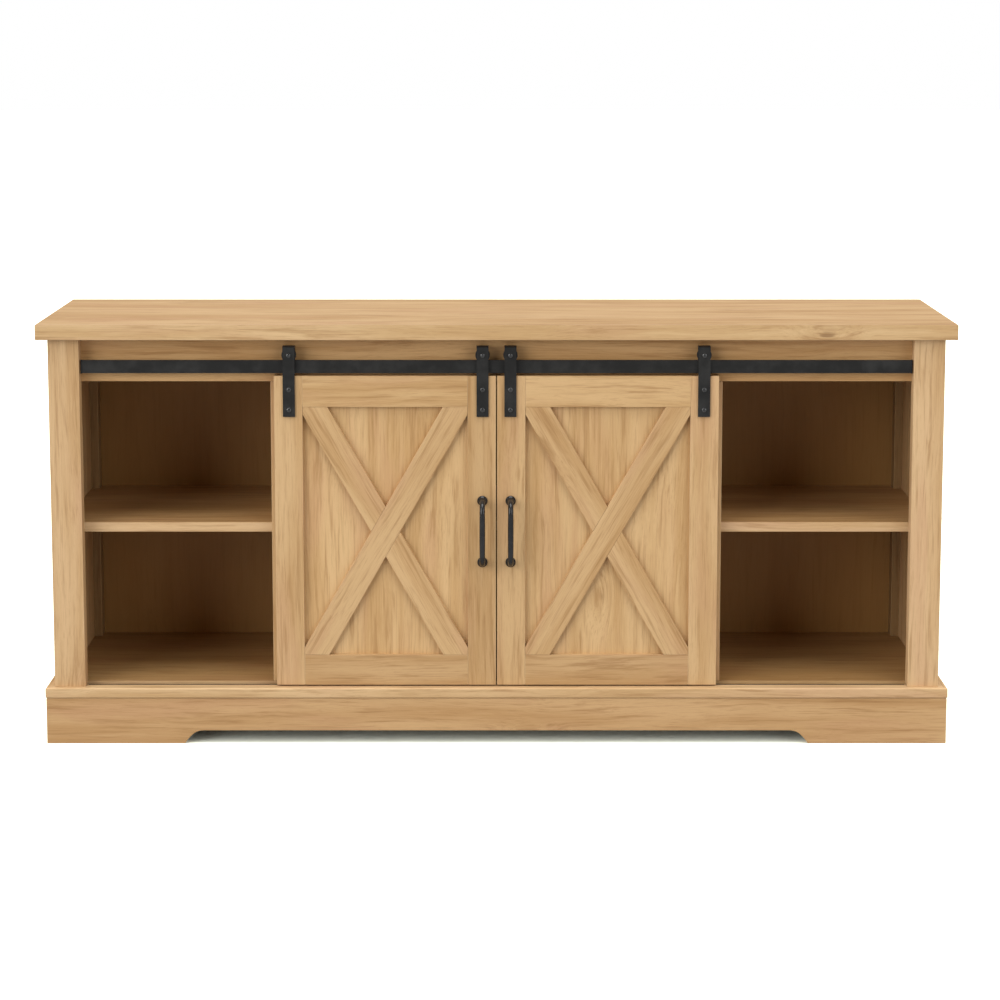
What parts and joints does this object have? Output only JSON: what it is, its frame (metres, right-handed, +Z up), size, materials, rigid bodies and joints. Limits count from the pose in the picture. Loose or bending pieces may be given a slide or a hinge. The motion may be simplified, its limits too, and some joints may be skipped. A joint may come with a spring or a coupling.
{
  "type": "tv stand with sliding doors",
  "caption": "Long low media cabinet with open shelf bays at both ends and cross-braced sliding doors hung on an exposed flat track in the middle.",
  "frame": {"origin": "centre of the bounding box's footprint, on the floor", "axes": "+X to the right seen from the front, along the length; +Y from the front to the back; +Z up"},
  "size_m": [1.68, 0.422, 0.785],
  "materials": {
    "oak": "light natural oak grain laminate, satin",
    "oak_backing": "thin printed oak backing board, matt",
    "black_steel": "matt black powder coat on flat steel",
    "black_bronze": "smooth dark bronze-black, half gloss",
    "black_nylon": "moulded black nylon"
  },
  "bodies": {
    "cabinet": {"top_board": "oak", "bottom_board": "oak", "track_board": "oak", "left_side_panel": "oak", "left_front_post": "oak", "left_rear_batten": "oak", "left_partition": "oak", "left_shelf": "oak", "right_side_panel": "oak", "right_front_post": "oak", "right_rear_batten": "oak", "right_partition": "oak", "right_shelf": "oak", "center_shelf": "oak", "left_back_panel": "oak_backing", "center_back_panel": "oak_backing", "right_back_panel": "oak_backing", "base_front_skirt": "oak", "base_front_cap": "oak", "base_left_cap": "oak", "base_right_cap": "oak", "base_left_skirt": "oak", "base_right_skirt": "oak", "base_rear_rail": "oak", "base_center_leg": "oak", "sliding_track": "black_steel", "left_track_spacer": "black_steel", "center_track_spacer": "black_steel", "right_track_spacer": "black_steel", "door_guide_channel": "black_nylon"},
    "left_door": {"left_door_panel": "oak", "left_door_outer_stile": "oak", "left_door_inner_stile": "oak", "left_door_top_rail": "oak", "left_door_bottom_rail": "oak", "left_door_rising_brace": "oak", "left_door_falling_brace": "oak", "left_door_handle": "black_bronze", "left_door_guide_fin": "black_nylon", "left_door_outer_hanger": "black_steel", "left_door_outer_axle_bolt": "black_steel", "left_door_inner_hanger": "black_steel", "left_door_inner_axle_bolt": "black_steel"},
    "left_outer_roller": {"left_door_outer_roller": "black_nylon"},
    "left_inner_roller": {"left_door_inner_roller": "black_nylon"},
    "right_door": {"right_door_panel": "oak", "right_door_outer_stile": "oak", "right_door_inner_stile": "oak", "right_door_top_rail": "oak", "right_door_bottom_rail": "oak", "right_door_rising_brace": "oak", "right_door_falling_brace": "oak", "right_door_handle": "black_bronze", "right_door_guide_fin": "black_nylon", "right_door_outer_hanger": "black_steel", "right_door_outer_axle_bolt": "black_steel", "right_door_inner_hanger": "black_steel", "right_door_inner_axle_bolt": "black_steel"},
    "right_outer_roller": {"right_door_outer_roller": "black_nylon"},
    "right_inner_roller": {"right_door_inner_roller": "black_nylon"}
  },
  "joints": [
    {"name": "left_door_slide", "type": "slide", "parent": "cabinet", "child": "left_door", "axis": [-1, 0, 0], "range_m": [0, 0.35]},
    {"name": "left_outer_roller_spin", "type": "hinge", "parent": "left_door", "child": "left_outer_roller", "pos_m": [-0.38, -0.1665, 0.7268], "axis": [0, 1, 0], "continuous": true},
    {"name": "left_inner_roller_spin", "type": "hinge", "parent": "left_door", "child": "left_inner_roller", "pos_m": [-0.0255, -0.1665, 0.7268], "axis": [0, 1, 0], "continuous": true},
    {"name": "right_door_slide", "type": "slide", "parent": "cabinet", "child": "right_door", "axis": [1, 0, 0], "range_m": [0, 0.35]},
    {"name": "right_outer_roller_spin", "type": "hinge", "parent": "right_door", "child": "right_outer_roller", "pos_m": [0.38, -0.1665, 0.7268], "axis": [0, 1, 0], "continuous": true},
    {"name": "right_inner_roller_spin", "type": "hinge", "parent": "right_door", "child": "right_inner_roller", "pos_m": [0.0255, -0.1665, 0.7268], "axis": [0, 1, 0], "continuous": true}
  ],
  "couplings": [
    {"joint": "left_outer_roller_spin", "follows": "left_door_slide", "rad_per_m": -111.11},
    {"joint": "left_inner_roller_spin", "follows": "left_door_slide", "rad_per_m": -111.11},
    {"joint": "right_outer_roller_spin", "follows": "right_door_slide", "rad_per_m": 111.11},
    {"joint": "right_inner_roller_spin", "follows": "right_door_slide", "rad_per_m": 111.11}
  ]
}
